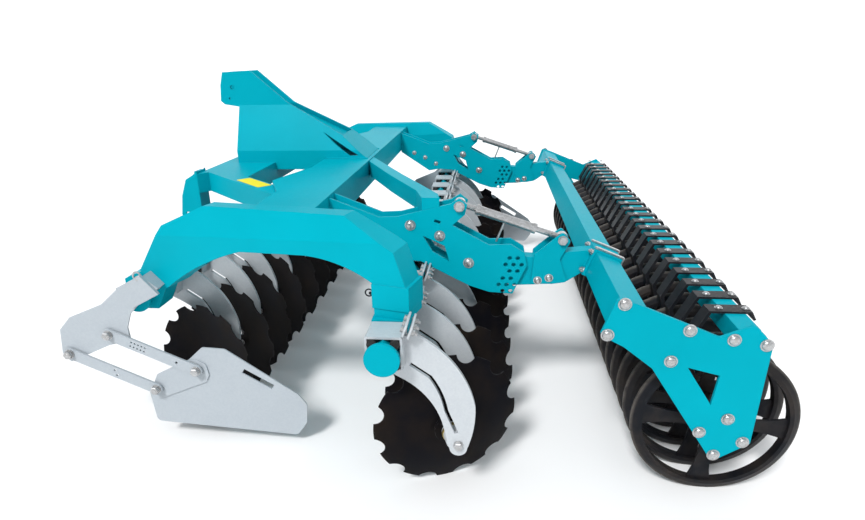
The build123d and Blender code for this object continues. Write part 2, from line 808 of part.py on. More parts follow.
# Turnbuckles between the cheeks' lugs and the ears of the roller arms
bx = turnbuckle_rear[0] - turnbuckle_front[0]
bz = turnbuckle_rear[1] - turnbuckle_front[1]
screw_length = hypot(bx, bz)
screw_dir = Vector(bx / screw_length, 0, bz / screw_length)


def turnbuckle(side):
    """The barrel with its front eye and its hanging handle, and the rear rod with its eye."""
    y = side * support_y
    front = Vector(fore(turnbuckle_front[0]), y, turnbuckle_front[1])
    axis_plane = Plane(origin=front, x_dir=(0, 1, 0), z_dir=screw_dir)
    grip = front + screw_dir * handle_at
    drop = Vector(handle_drop[0], 0, handle_drop[1])
    with BuildPart() as barrel:
        with BuildSketch(side_plane(y + eye_width / 2)):
            with Locations((front.X, front.Z)):
                Circle(eye_outer_radius)
        extrude(amount=eye_width)
        with BuildSketch(axis_plane):
            Circle(rod_radius)
        extrude(amount=barrel_start)
        with BuildSketch(axis_plane.offset(barrel_start)):
            Circle(barrel_radius)
        extrude(amount=barrel_end - barrel_start)
        for collar_at in (barrel_start, barrel_end - barrel_collar_length):
            with BuildSketch(axis_plane.offset(collar_at)):
                Circle(barrel_collar_radius)
            extrude(amount=barrel_collar_length)
        with BuildSketch(Plane(origin=grip, x_dir=(0, 1, 0), z_dir=drop.normalized())):
            Circle(handle_radius)
        extrude(amount=drop.length)
        with BuildSketch(side_plane(y + eye_width / 2)):
            with Locations((front.X, front.Z)):
                Circle(eye_pin_radius + pin_clearance)
        extrude(amount=eye_width, mode=Mode.SUBTRACT)
        with BuildSketch(axis_plane.offset(barrel_end)):
            Circle(rod_radius + pin_clearance)
        extrude(amount=-(barrel_end - barrel_start - 60), mode=Mode.SUBTRACT)
    with BuildPart() as rod:
        with BuildSketch(axis_plane.offset(barrel_end - 90)):
            Circle(rod_radius)
        extrude(amount=screw_length - eye_outer_radius + 4 - (barrel_end - 90))
        with BuildSketch(side_plane(y + eye_width / 2)):
            with Locations(place(turnbuckle_rear)):
                Circle(eye_outer_radius)
                Circle(eye_pin_radius + 3, mode=Mode.SUBTRACT)
        extrude(amount=eye_width)
    return barrel.part, rod.part


for name, side in (("left", 1), ("right", -1)):
    barrel, rod = turnbuckle(side)
    finish(barrel, f"turnbuckle_barrel_{name}")
    finish(rod, f"turnbuckle_rod_{name}")

# Side deflectors: bracket, two parallel links and a plate, mirrored beside the rear row
upper_front = (2385.0, 510.0)
lower_front = (2577.0, 415.0)
link_reach = (-355.0, -156.0)
upper_rear = (upper_front[0] + link_reach[0], upper_front[1] + link_reach[1])
lower_rear = (lower_front[0] + link_reach[0], lower_front[1] + link_reach[1])
link_length = hypot(*link_reach)
pin_length = deflector_gauge + bush_gap + deflector_link_gauge + 10.5
bracket_outline = [
    (2605, 521), (2550, 578), (2395, 641), (2299, 722), (2200, 765), (2140, 700), (2224, 654), (2278, 600),
    (2302, 540), (2300, 480), (2400, 455), (2590, 370), (2620, 410),
]
bracket_channel = [(2200, 772), (2312, 716), (2255, 632), (2136, 694)]
adapter_outline = [
    (2215, 322), (2258, 236), (2230, 200), (2000, 296), (1984, 330), (1992, 378), (2030, 398), (2085, 388),
]
deflector_outline = [
    (2268, 240), (2258, 87), (1631, 46), (1585, 108), (1577, 200), (1611, 245), (1903, 449), (2000, 454),
    (2060, 400),
]
deflector_slot = [(1830, 360), (1842, 340), (1722, 268), (1710, 288)]
row_holes = [(step, across, 4.5) for step in (100, 115, 130, 145, 160) for across in (-9, 9)]
upper_link_holes = row_holes + [(300, 0, 6.0)]
lower_link_holes = [(200, -10, 6.0), (215, 10, 6.0)]


def shifted(points, dx):
    """The same side outline further back."""
    return [(x + dx, z) for x, z in points]


def link_bar(a, b, y_low, holes):
    """A flat link with round ends between two pins, with small holes given along and across it."""
    ux, uz = (b[0] - a[0]) / link_length, (b[1] - a[1]) / link_length
    mid = ((a[0] + b[0]) / 2, (a[1] + b[1]) / 2)
    drilled = [(a[0] + ux * s - uz * t, a[1] + uz * s + ux * t, r) for s, t, r in holes]
    with BuildPart() as bar:
        with BuildSketch(side_plane(y_low + deflector_link_gauge)):
            with Locations(place(mid)):
                SlotCenterToCenter(link_length, deflector_link_width, rotation=degrees(atan2(uz, ux)))
            with Locations(place(a), place(b)):
                Circle(deflector_pin_radius + pin_clearance, mode=Mode.SUBTRACT)
            for x, z, radius in drilled:
                with Locations(place((x, z))):
                    Circle(radius, mode=Mode.SUBTRACT)
        extrude(amount=deflector_link_gauge)
    return bar.part


left_foot = [(2140, 715), (2200, 765), (2225, 745), (2170, 690)]
right_foot = [(1088, 716), (1185, 716), (1150, 740), (1088, 762)]
brackets = []
for name, side, dx, bracket_y, foot in (
    ("left", 1, 0.0, left_bracket_y, left_foot),
    ("right", -1, rear_gang - front_gang, right_bracket_y, right_foot),
):
    def lay(low, gauge):
        """The low face of a layer that starts outboard of the bracket."""
        return low if side > 0 else -low - gauge

    link_y = bracket_y + deflector_gauge + bush_gap
    blade_y = bracket_y - deflector_gauge
    arch_y = arch_front_left_y if side > 0 else -arch_rear_right_y
    with BuildPart() as bracket:
        add(slab(shifted(bracket_outline, dx), lay(bracket_y, deflector_gauge), deflector_gauge))
        add(slab(shifted(bracket_channel, dx), lay(bracket_y, channel_step), channel_step))
        add(slab(foot, lay(arch_y, bracket_y - arch_y), bracket_y - arch_y))
        for x, z in shifted([upper_front, lower_front], dx):
            add(pin_y(x, z, deflector_pin_radius, lay(bracket_y, pin_length),
                      lay(bracket_y, pin_length) + pin_length))
        add(side_arches[name], mode=Mode.SUBTRACT)
        for seat in seats:
            add(seat, mode=Mode.SUBTRACT)
    brackets.append(bracket.part.solids().sort_by(SortBy.VOLUME)[-1])
    ends = shifted([upper_front, upper_rear, lower_front, lower_rear], dx)
    link_low = lay(link_y, deflector_link_gauge)
    finish(link_bar(ends[0], ends[1], link_low, upper_link_holes), f"deflector_upper_link_{name}")
    finish(link_bar(ends[2], ends[3], link_low, lower_link_holes), f"deflector_lower_link_{name}")
    with BuildPart() as plate:
        add(slab(shifted(deflector_outline, dx), lay(blade_y, deflector_gauge), deflector_gauge,
                 windows=[shifted(deflector_slot, dx)], corner=25.0))
        add(slab(shifted(adapter_outline, dx), lay(bracket_y, deflector_gauge), deflector_gauge, corner=15.0))
        for x, z in (ends[1], ends[3]):
            add(pin_y(x, z, deflector_pin_radius, lay(bracket_y, pin_length),
                      lay(bracket_y, pin_length) + pin_length))
    finish(plate.part, f"deflector_plate_{name}")
finish(gathered(brackets), "deflector_brackets")
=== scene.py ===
"""The looks of a mounted disc harrow with ring roller: finishes, fasteners, trim, studio and camera.

Places on the machine are in millimetres, with X from the roller's axis. The sizes of forms are in metres.
"""
import logging
import math
from dataclasses import dataclass, field
from enum import Enum
from typing import Any

import bpy
from mathutils import Matrix, Vector


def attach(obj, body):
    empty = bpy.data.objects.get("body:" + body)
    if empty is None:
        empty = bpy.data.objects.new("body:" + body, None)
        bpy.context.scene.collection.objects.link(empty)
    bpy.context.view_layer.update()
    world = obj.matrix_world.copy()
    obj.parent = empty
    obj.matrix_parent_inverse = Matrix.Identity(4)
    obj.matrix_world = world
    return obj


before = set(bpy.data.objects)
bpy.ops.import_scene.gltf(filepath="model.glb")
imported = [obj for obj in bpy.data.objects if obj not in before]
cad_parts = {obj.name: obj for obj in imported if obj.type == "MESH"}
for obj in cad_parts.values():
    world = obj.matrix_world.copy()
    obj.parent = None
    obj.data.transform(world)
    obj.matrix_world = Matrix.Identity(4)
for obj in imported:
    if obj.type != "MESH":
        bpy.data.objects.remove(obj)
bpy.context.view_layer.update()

log = logging.getLogger("harrow")

MM = 0.001  # a millimetre in metres
ROLLER_X = -1.162  # the roller's axis in the machine's frame, in metres
SIDES = {"left": 1, "right": -1}
SUPPORT_Y = 1000.0  # how far the cheeks, the ears and the turnbuckles lie from the middle
LUG_EYE = (948.0, 994.0)  # the turnbuckles' front eyes
EAR_EYE = (527.0, 853.0)  # the turnbuckles' rear eyes
EDGE_EASE = 0.2  # the share of a bar's gauge that its eased edges take
SMOOTH_BELOW = 38.0  # edges under this angle, in degrees, are shaded smooth
UP = Vector((0.0, 0.0, 1.0))
FORWARD = Vector((1.0, 0.0, 0.0))

Pair = tuple[float, float]
Triple = tuple[float, float, float]


def fore(x: float) -> float:
    """A place along X, given from the roller's axis, in the machine's frame."""
    return x + ROLLER_X


def spot(x: float, y: float, z: float) -> Vector:
    """A point given in millimetres from the roller's axis, in the machine's frame in metres."""
    return Vector((fore(x * MM), y * MM, z * MM))


def clear_selection() -> None:
    """Select nothing, so that an operator acts on new forms alone."""
    bpy.ops.object.select_all(action="DESELECT")


def turned(profile: list[Pair], sides: int) -> bpy.types.Object:
    """A turned form: a disc whose end is extruded and scaled from step to step.

    Args:
        profile: radius and height of each step, in metres.
        sides: how many sides the disc has.

    Returns:
        The form, standing on the origin along Z.
    """
    clear_selection()
    first_radius, first_height = profile[0]
    bpy.ops.mesh.primitive_circle_add(
        vertices=sides, radius=first_radius, fill_type="NGON", location=(0.0, 0.0, first_height))
    form = bpy.context.active_object
    bpy.ops.object.transform_apply(location=True, rotation=False, scale=False)
    bpy.ops.object.mode_set(mode="EDIT")
    bpy.ops.mesh.select_all(action="SELECT")
    for (radius, height), (next_radius, next_height) in zip(profile, profile[1:]):
        bpy.ops.mesh.extrude_region_move(TRANSFORM_OT_translate={"value": (0.0, 0.0, next_height - height)})
        ratio = next_radius / radius
        bpy.ops.transform.resize(value=(ratio, ratio, 1.0), center_override=(0.0, 0.0, 0.0))
    bpy.ops.mesh.select_all(action="SELECT")
    bpy.ops.mesh.normals_make_consistent(inside=False)
    bpy.ops.object.mode_set(mode="OBJECT")
    return form


def flat_bar(length: float, width: float, gauge: float, corner: float) -> bpy.types.Object:
    """A flat bar or plate with round corners and eased edges.

    Args:
        length: size along X in metres.
        width: size along Y in metres.
        gauge: thickness in metres, from the origin up.
        corner: radius of its four corners in metres.

    Returns:
        The bar, lying on the origin.
    """
    clear_selection()
    bpy.ops.mesh.primitive_plane_add(size=1.0)
    bar = bpy.context.active_object
    bar.scale = (length, width, 1.0)
    bpy.ops.object.transform_apply(location=False, rotation=False, scale=True)
    bpy.ops.object.mode_set(mode="EDIT")
    bpy.ops.mesh.select_all(action="SELECT")
    bpy.ops.mesh.bevel(offset=corner, segments=4, affect="VERTICES")
    bpy.ops.mesh.select_all(action="SELECT")
    bpy.ops.mesh.extrude_region_move(TRANSFORM_OT_translate={"value": (0.0, 0.0, gauge)})
    bpy.ops.mesh.select_all(action="SELECT")
    bpy.ops.mesh.normals_make_consistent(inside=False)
    bpy.ops.object.mode_set(mode="OBJECT")
    eased = bar.modifiers.new("eased", "BEVEL")
    eased.width = gauge * EDGE_EASE
    eased.segments = 1
    eased.limit_method = "ANGLE"
    bpy.ops.object.modifier_apply(modifier=eased.name)
    return bar


def joined(forms: list[bpy.types.Object]) -> bpy.types.Object:
    """Join forms into the first of them.

    Args:
        forms: what is joined.

    Returns:
        The first form, with the others in it.
    """
    clear_selection()
    for form in forms:
        form.select_set(True)
    bpy.context.view_layer.objects.active = forms[0]
    if len(forms) > 1:
        bpy.ops.object.join()
    return forms[0]


@dataclass(frozen=True)
class Place:
    """Where a copy goes: its foot, the way its Z axis points and, where it matters, the way of its X axis."""

    foot: Vector
    way: Vector
    along: Vector | None = None

    def matrix(self) -> Matrix:
        """The copy's transform.

        Returns:
            A turn and a move, with no scale.
        """
        z = self.way.normalized()
        guide = self.along
        if guide is None:
            guide = UP if abs(z.z) < 0.9 else FORWARD
        x = (guide - z * guide.dot(z)).normalized()
        y = z.cross(x)
        return Matrix.Translation(self.foot) @ Matrix((x, y, z)).transposed().to_4x4()


@dataclass
class Hardware:
    """The forms that are copied to their places, each modelled once for each of its sizes."""

    made: dict[str, bpy.types.Object] = field(default_factory=dict)

    def keep(self, key: str, form: bpy.types.Object) -> bpy.types.Object:
        """Keep a form to be copied.

        Args:
            key: its kind and sizes.
            form: the form.

        Returns:
            The same form.
        """
        form.name = f"master_{key}"
        self.made[key] = form
        return form

    def domed_bolt(self, thread: float) -> bpy.types.Object:
        """A dome head over a washer.

        Args:
            thread: the bolt's thread size in metres.

        Returns:
            The form to copy.
        """
        key = f"domed_{thread}"
        if key in self.made:
            return self.made[key]
        washer, head = 1.25 * thread, 1.0 * thread
        profile = [(washer, 0.0), (washer, 0.18 * thread), (head, 0.18 * thread), (head, 0.3 * thread),
                   (0.9 * head, 0.5 * thread), (0.68 * head, 0.66 * thread), (0.36 * head, 0.75 * thread)]
        return self.keep(key, turned(profile, 16))

    def hex_bolt(self, thread: float) -> bpy.types.Object:
        """A hexagon head over a washer.

        Args:
            thread: the bolt's thread size in metres.

        Returns:
            The form to copy.
        """
        key = f"hex_{thread}"
        if key in self.made:
            return self.made[key]
        washer, corner, top = 1.0 * thread, 0.92 * thread, 0.85 * thread
        plate = turned([(washer, 0.0), (washer, 0.2 * thread)], 14)
        head = turned([(corner, 0.2 * thread), (corner, top - 0.1 * thread), (0.86 * corner, top)], 6)
        return self.keep(key, joined([plate, head]))

    def nut(self, thread: float, stud: float) -> bpy.types.Object:
        """A washer, a nut and the end of the bolt that stands out of it.

        Args:
            thread: the thread size in metres.
            stud: how far the bolt's end stands out of the nut, in metres.

        Returns:
            The form to copy.
        """
        key = f"nut_{thread}_{stud}"
        if key in self.made:
            return self.made[key]
        washer, corner, top = 1.05 * thread, 0.92 * thread, 1.0 * thread
        plate = turned([(washer, 0.0), (washer, 0.18 * thread)], 14)
        body = turned([(corner, 0.18 * thread), (corner, top - 0.1 * thread), (0.86 * corner, top)], 6)
        end = turned([(0.5 * thread, top * 0.8), (0.5 * thread, top + stud * 0.85),
                      (0.42 * thread, top + stud)], 10)
        return self.keep(key, joined([plate, body, end]))

    def screw_thread(self, radius: float, length: float, pitch: float) -> bpy.types.Object:
        """A stretch of thread.

        Args:
            radius: the thread's outer radius in metres.
            length: the stretch's length in metres.
            pitch: the distance between two crests in metres.

        Returns:
            The form to copy.
        """
        key = f"thread_{radius}_{length}"
        if key in self.made:
            return self.made[key]
        profile = []
        for turn in range(int(length / pitch)):
            profile += [(radius * 0.97, turn * pitch), (radius * 1.05, (turn + 0.4) * pitch)]
        return self.keep(key, turned(profile, 14))

    def wire_loop(self, radius: float, wire: float, drop: float) -> bpy.types.Object:
        """A loop of wire, round at its top and drawn down to a U.

        Args:
            radius: the loop's radius in metres.
            wire: the wire's radius in metres.
            drop: how far its lower half is drawn down along Y, in metres.

        Returns:
            The form to copy, in the XY plane.
        """
        key = f"loop_{radius}_{wire}_{drop}"
        if key in self.made:
            return self.made[key]
        clear_selection()
        bpy.ops.mesh.primitive_torus_add(
            major_radius=radius, minor_radius=wire, major_segments=20, minor_segments=8)
        loop = bpy.context.active_object
        for polygon in loop.data.polygons:
            polygon.select = False
        for vertex in loop.data.vertices:
            vertex.select = vertex.co.y < -0.25 * radius
        bpy.ops.object.mode_set(mode="EDIT")
        bpy.ops.mesh.select_mode(type="VERT")
        bpy.ops.transform.translate(value=(0.0, -drop, 0.0))
        bpy.ops.object.mode_set(mode="OBJECT")
        return self.keep(key, loop)

    def weld_bead(self, length: float, radius: float) -> bpy.types.Object:
        """A rippled bead.

        Args:
            length: the seam's length in metres.
            radius: the bead's radius in metres.

        Returns:
            The form to copy.
        """
        key = f"bead_{length:.4f}_{radius}"
        if key in self.made:
            return self.made[key]
        ripple = 1.6 * radius
        profile = [(radius * 0.5, 0.0)]
        for wave in range(max(2, int(length / ripple) - 1)):
            start = (wave + 0.3) * ripple
            crest = radius * (1.0 + 0.05 * math.sin(2.3 * wave))
            profile += [(radius * 0.86, start), (crest, start + 0.5 * ripple)]
        profile.append((radius * 0.5, length))
        return self.keep(key, turned(profile, 8))

    def retire(self) -> None:
        """Remove the forms that were only there to be copied."""
        for form in self.made.values():
            bpy.data.objects.remove(form)
        self.made.clear()


class Socket:
    """A node's output wrapped so that Python arithmetic adds Math nodes."""

    def __init__(self, tree: bpy.types.NodeTree, output: bpy.types.NodeSocket) -> None:
        """Keep the tree and the output socket that this value comes from."""
        self.tree = tree
        self.output = output

    def _math(self, operation: str, first: Any, second: Any = None) -> "Socket":
        """Add one Math node.

        Args:
            operation: Blender's name of the operation.
            first: a Socket or a number.
            second: a Socket, a number or nothing.

        Returns:
            The node's result, wrapped.
        """
        node = self.tree.nodes.new("ShaderNodeMath")
        node.operation = operation
        for index, value in enumerate((first, second)):
            if isinstance(value, Socket):
                self.tree.links.new(value.output, node.inputs[index])
            elif value is not None:
                node.inputs[index].default_value = value
        return Socket(self.tree, node.outputs[0])

    def __add__(self, other: Any) -> "Socket":
        """Sum."""
        return self._math("ADD", self, other)

    __radd__ = __add__

    def __mul__(self, other: Any) -> "Socket":
        """Product."""
        return self._math("MULTIPLY", self, other)

    __rmul__ = __mul__

    def __sub__(self, other: Any) -> "Socket":
        """Difference."""
        return self._math("SUBTRACT", self, other)

    def __rsub__(self, other: Any) -> "Socket":
        """Difference from a number."""
        return self._math("SUBTRACT", other, self)

    def above(self, level: float, softness: float) -> "Socket":
        """A soft step: 0 below a level, 1 above it."""
        return ((self - level) * (1.0 / softness) + 0.5).clamped()

    def clamped(self) -> "Socket":
        """Keep the value between 0 and 1.

        Returns:
            The kept value, wrapped.
        """
        node = self.tree.nodes.new("ShaderNodeClamp")
        self.tree.links.new(self.output, node.inputs["Value"])
        return Socket(self.tree, node.outputs[0])


class Shader:
    """One material under construction."""

    def __init__(self, name: str) -> None:
        """Start a node material with a Principled shader.

        Args:
            name: the material's name.
        """
        self.material = bpy.data.materials.new(name)
        self.material.use_nodes = True
        self.tree = self.material.node_tree
        self.principled = self.tree.nodes["Principled BSDF"]
        self.place = self.add("ShaderNodeTexCoord", output="Object")

    def add(self, kind: str, settings: dict[str, Any] | None = None,
            inputs: dict[Any, Any] | None = None, output: Any = 0) -> Socket:
        """Add one node.

        Args:
            kind: the node's type.
            settings: attributes set before its sockets.
            inputs: numbers, colours or wrapped sockets for its inputs.
            output: name or index of the output that is used.

        Returns:
            The node's chosen output, wrapped.
        """
        node = self.tree.nodes.new(kind)
        for key, value in (settings or {}).items():
            setattr(node, key, value)
        for key, value in (inputs or {}).items():
            if isinstance(value, Socket):
                self.tree.links.new(value.output, node.inputs[key])
            else:
                node.inputs[key].default_value = value
        return Socket(self.tree, node.outputs[output])

    def noise(self, scale: float, detail: float = 3.0, roughness: float = 0.5,
              stretch: Triple = (1, 1, 1)) -> Socket:
        """A noise pattern on the piece's own coordinates.

        Args:
            scale: how many features fit in a metre.
            detail: how many octaves.
            roughness: how strong the fine octaves are.
            stretch: scale along X, Y and Z.

        Returns:
            The pattern, from 0 to 1.
        """
        place = self.add("ShaderNodeMapping", inputs={"Vector": self.place, "Scale": stretch})
        return self.add("ShaderNodeTexNoise", inputs={
            "Vector": place, "Scale": scale, "Detail": detail, "Roughness": roughness}, output="Fac")

    def cells(self, scale: float) -> Socket:
        """Cell patches with a random grey each.

        Args:
            scale: how many cells fit in a metre.

        Returns:
            The patches, from 0 to 1.
        """
        cell = self.add(
            "ShaderNodeTexVoronoi", {"feature": "F1"}, {"Vector": self.place, "Scale": scale}, "Color")
        return self.add("ShaderNodeSeparateColor", inputs={"Color": cell})

    def rounded(self, radius: float) -> Socket:
        """The surface's normal with its sharp edges rounded off."""
        return self.add("ShaderNodeBevel", {"samples": 4}, {"Radius": radius})

    def edges(self, radius: float) -> Socket:
        """A mask that is 1 near convex edges, from the difference between two normals.

        Args:
            radius: width of the rounded edge in metres.

        Returns:
            The mask.
        """
        geometry = self.add("ShaderNodeNewGeometry", output="Normal")
        same = self.add("ShaderNodeVectorMath", {"operation": "DOT_PRODUCT"},
                        {0: self.rounded(radius), 1: geometry}, "Value")
        gain = 6.0
        return ((1.0 - same) * gain).clamped()

    def blend(self, low: Any, high: Any, mask: Any) -> Socket:
        """Mix two colours.

        Args:
            low: colour where the mask is 0.
            high: colour where the mask is 1.
            mask: a wrapped socket or a number.

        Returns:
            The mixed colour.
        """
        return self.add("ShaderNodeMix", {"data_type": "RGBA"}, {0: mask, 6: low, 7: high}, 2)

    def bump(self, height: Socket, strength: float, distance: float, normal: Socket | None = None) -> None:
        """Feed a height into the shader's normal.

        Args:
            height: the pattern.
            strength: share of the effect.
            distance: height in metres of the pattern's full range.
            normal: the normal that the pattern is laid over, the surface's own where none is given.
        """
        inputs = {"Height": height, "Strength": strength, "Distance": distance}
        if normal is not None:
            inputs["Normal"] = normal
        self.set(Normal=self.add("ShaderNodeBump", inputs=inputs))

    def set(self, **inputs: Any) -> bpy.types.Material:
        """Set the shader's inputs and give the finished material.

        Args:
            **inputs: names of inputs with _ for spaces, and their values.

        Returns:
            The material.
        """
        for key, value in inputs.items():
            socket = self.principled.inputs[key.replace("_", " ")]
            if isinstance(value, Socket):
                self.tree.links.new(value.output, socket)
            else:
                socket.default_value = value
        return self.material


Colour = tuple[float, float, float, float]


def grey(value: float) -> Colour:
    """A neutral colour."""
    return (value, value, value, 1.0)


@dataclass(frozen=True)
class Paint:
    """A sprayed coat with a faint cloudiness, a fine peel, and lighter edges that are partly worn paint and
    partly a painted highlight.
    """

    name: str
    colour: Colour
    deep: Colour
    # the lighter colour at the edges, partly worn paint and partly a painted highlight on the rounded edges
    edge: Colour
    roughness: float = 0.4
    coat: float = 0.01
    coat_roughness: float = 0.18
    specular: float = 0.025
    cloud_scale: float = 3.0
    fine_scale: float = 60.0
    fine_share: float = 0.16
    peel: float = 0.00012
    peel_scale: float = 420.0
    peel_strength: float = 0.35
    edge_round: float = 0.004
    edge_width: float = 0.0025
    edge_scale: float = 35.0
    # how strong the lighter edge tint is, part wear and part painted highlight
    edge_wear_and_highlight: float = 0.25
    worn_share: float = 0.25

    def material(self) -> bpy.types.Material:
        """Build the coat's material.

        Returns:
            The material.
        """
        s = Shader(self.name)
        cloud = s.noise(self.cloud_scale)
        fine = s.noise(self.fine_scale, 4.0, 0.6)
        wear_and_highlight_spots = s.noise(self.edge_scale, 4.0, 0.7).above(0.52, 0.12)
        # lighter edge spots: partly worn paint, partly a painted highlight where the rounded edges catch the
        # light
        worn = (s.edges(self.edge_width) * wear_and_highlight_spots) * self.edge_wear_and_highlight
        colour = s.blend(self.deep, self.colour, cloud.above(0.45, 0.5))
        colour = s.blend(colour, self.edge, worn)
        s.bump(s.noise(self.peel_scale, 1.0), self.peel_strength, self.peel, s.rounded(self.edge_round))
        rough = self.roughness + (fine - 0.5) * self.fine_share + worn * self.worn_share
        return s.set(Base_Color=colour, Roughness=rough.clamped(), Coat_Weight=self.coat,
                     Coat_Roughness=self.coat_roughness, Specular_IOR_Level=self.specular)


@dataclass(frozen=True)
class CoatedSteel:
    """Grey steel with a dull metal coat of fine patches and level streaks."""

    name: str
    colour: Colour
    dark: Colour
    roughness: float = 0.42
    metallic: float = 0.55
    patch_scale: float = 140.0
    patch_share: float = 0.45
    streak_scale: float = 9.0
    streak_stretch: Triple = (1.0, 1.0, 3.0)
    streak_roughness: float = 0.3
    grain_scale: float = 260.0
    grain_strength: float = 0.3
    grain_height: float = 0.00012

    def material(self) -> bpy.types.Material:
        """Build the coat's material.

        Returns:
            The material.
        """
        s = Shader(self.name)
        patches = s.cells(self.patch_scale)
        streaks = s.noise(self.streak_scale, 5.0, 0.65, self.streak_stretch)
        mask = (patches * self.patch_share + streaks * (1.0 - self.patch_share)).clamped()
        colour = s.blend(self.dark, self.colour, mask.above(0.42, 0.9))
        s.bump(s.noise(self.grain_scale), self.grain_strength, self.grain_height)
        rough = self.roughness + (streaks - 0.5) * self.streak_roughness
        return s.set(Base_Color=colour, Roughness=rough.clamped(), Metallic=self.metallic)


@dataclass(frozen=True)
class BlackSteel:
    """Black lacquered steel with a little dust and grey rubs at its edges."""

    name: str
    colour: Colour
    dust: Colour
    roughness: float = 0.4
    dusting: float = 0.35
    specular: float = 0.14
    cloud_scale: float = 6.0
    cloud_roughness: float = 0.35
    rub: Colour = grey(0.16)
    rub_scale: float = 50.0
    rub_width: float = 0.002
    rub_share: float = 0.5
    grain_scale: float = 180.0
    grain_strength: float = 0.3
    grain_height: float = 0.0002

    def material(self) -> bpy.types.Material:
        """Build the lacquer's material.

        Returns:
            The material.
        """
        s = Shader(self.name)
        cloud = s.noise(self.cloud_scale, 5.0, 0.6)
        worn = s.edges(self.rub_width) * s.noise(self.rub_scale, 3.0, 0.7).above(0.5, 0.2)
        colour = s.blend(self.colour, self.dust, cloud.above(0.6, 0.4) * self.dusting)
        colour = s.blend(colour, self.rub, worn * self.rub_share)
        s.bump(s.noise(self.grain_scale), self.grain_strength, self.grain_height)
        rough = self.roughness + (cloud - 0.5) * self.cloud_roughness
        return s.set(Base_Color=colour, Roughness=rough.clamped(), Specular_IOR_Level=self.specular)


@dataclass(frozen=True)
class RingSteel:
    """The rings' black steel, dusty, and lighter towards the rims by the distance from the roller's axis:
    partly worn steel and partly a painted highlight.
    """

    name: str
    colour: Colour
    # the lighter colour at the rims: partly worn, dusty steel and partly a painted highlight on the rims'
    # crests
    rim: Colour
    axis_z: float = 0.296
    rim_start: float = 0.286
    rim_end: float = 0.296
    rim_roughness: float = 0.1
    specular: float = 0.12
    soil: Colour = (0.045, 0.035, 0.028, 1)
    soil_share: float = 0.6
    cloud_scale: float = 7.0
    cloud_roughness: float = 0.4
    roughness: float = 0.42
    rub_scale: float = 24.0
    grain_scale: float = 160.0
    grain_strength: float = 0.3
    grain_height: float = 0.0002

    def material(self) -> bpy.types.Material:
        """Build the rings' material.

        Returns:
            The material.
        """
        s = Shader(self.name)
        parts = s.add("ShaderNodeSeparateXYZ", inputs={"Vector": s.place}).output.node.outputs
        x = Socket(s.tree, parts["X"]) - ROLLER_X
        z = Socket(s.tree, parts["Z"]) - self.axis_z
        squared = x * x + z * z
        span = self.rim_end ** 2 - self.rim_start ** 2
        at_rim = ((squared - self.rim_start ** 2) * (1.0 / span)).clamped()
        cloud = s.noise(self.cloud_scale, 5.0, 0.6)
        colour = s.blend(self.colour, self.soil, cloud.above(0.55, 0.3) * self.soil_share)
        # lighter towards the rims, in patches: partly wear and partly a painted highlight
        colour = s.blend(colour, self.rim, at_rim * s.noise(self.rub_scale, 4.0, 0.65).above(0.4, 0.35))
        s.bump(s.noise(self.grain_scale), self.grain_strength, self.grain_height)
        rough = self.roughness + (cloud - 0.5) * self.cloud_roughness + at_rim * self.rim_roughness
        return s.set(Base_Color=colour, Roughness=rough.clamped(), Specular_IOR_Level=self.specular)


@dataclass(frozen=True)
class Rubber:
    """Dull black rubber."""

    name: str
    dark: Colour = grey(0.012)
    light: Colour = grey(0.03)
    roughness: float = 0.75
    fine_scale: float = 80.0
    grain_scale: float = 300.0
    grain_strength: float = 0.4
    grain_height: float = 0.0002

    def material(self) -> bpy.types.Material:
        """Build the rubber's material.

        Returns:
            The material.
        """
        s = Shader(self.name)
        fine = s.noise(self.fine_scale, 4.0)
        s.bump(s.noise(self.grain_scale, 2.0), self.grain_strength, self.grain_height)
        return s.set(Base_Color=s.blend(self.dark, self.light, fine), Roughness=self.roughness)


class Finish(Enum):
    """The finishes of the machine."""

    # the third colour of each paint is its lighter edge tint, partly wear and partly a painted highlight
    TEAL = Paint("teal_coat", (0.0, 0.355, 0.45, 1), (0.0, 0.32, 0.405, 1), (0.08, 0.45, 0.52, 1))
    YELLOW = Paint("yellow_film", (0.80, 0.72, 0.02, 1), (0.76, 0.66, 0.02, 1), grey(0.5), 0.45, 0.1)
    SILVER = CoatedSteel("silver_coat", (0.53, 0.56, 0.58, 1), (0.46, 0.49, 0.52, 1), 0.42, 0.12)
    PALE = CoatedSteel("pale_coat", (0.42, 0.46, 0.49, 1), (0.37, 0.41, 0.45, 1), 0.45, 0.08)
    ZINC = CoatedSteel("zinc", (0.56, 0.57, 0.58, 1), (0.34, 0.33, 0.32, 1), 0.3, 0.85)
    GOLD = CoatedSteel("yellow_zinc", (0.50, 0.38, 0.12, 1), (0.34, 0.25, 0.08, 1), 0.34, 0.8)
    DISC = BlackSteel("disc_steel", (0.004, 0.004, 0.006, 1), (0.022, 0.015, 0.009, 1), 0.5, 0.7, 0.04)
    BLACK = BlackSteel("black_lacquer", (0.008, 0.009, 0.012, 1), (0.05, 0.048, 0.05, 1), 0.36, 0.4)
    # the second colour is the lighter rim strip, partly wear and partly a painted highlight
    RING = RingSteel("ring_steel", (0.007, 0.008, 0.011, 1), (0.10, 0.09, 0.08, 1))
    RUBBER = Rubber("cord_rubber")


made_finishes: dict[Finish, bpy.types.Material] = {}


def coat(piece: bpy.types.Object, finish: Finish) -> None:
    """Give a piece one finish all over, whose material is made once.

    Args:
        piece: what is coated.
        finish: its finish.
    """
    if finish not in made_finishes:
        made_finishes[finish] = finish.value.material()
    piece.data.materials.clear()
    piece.data.materials.append(made_finishes[finish])


Stock = list[tuple[bpy.types.Object, list[Place]]]


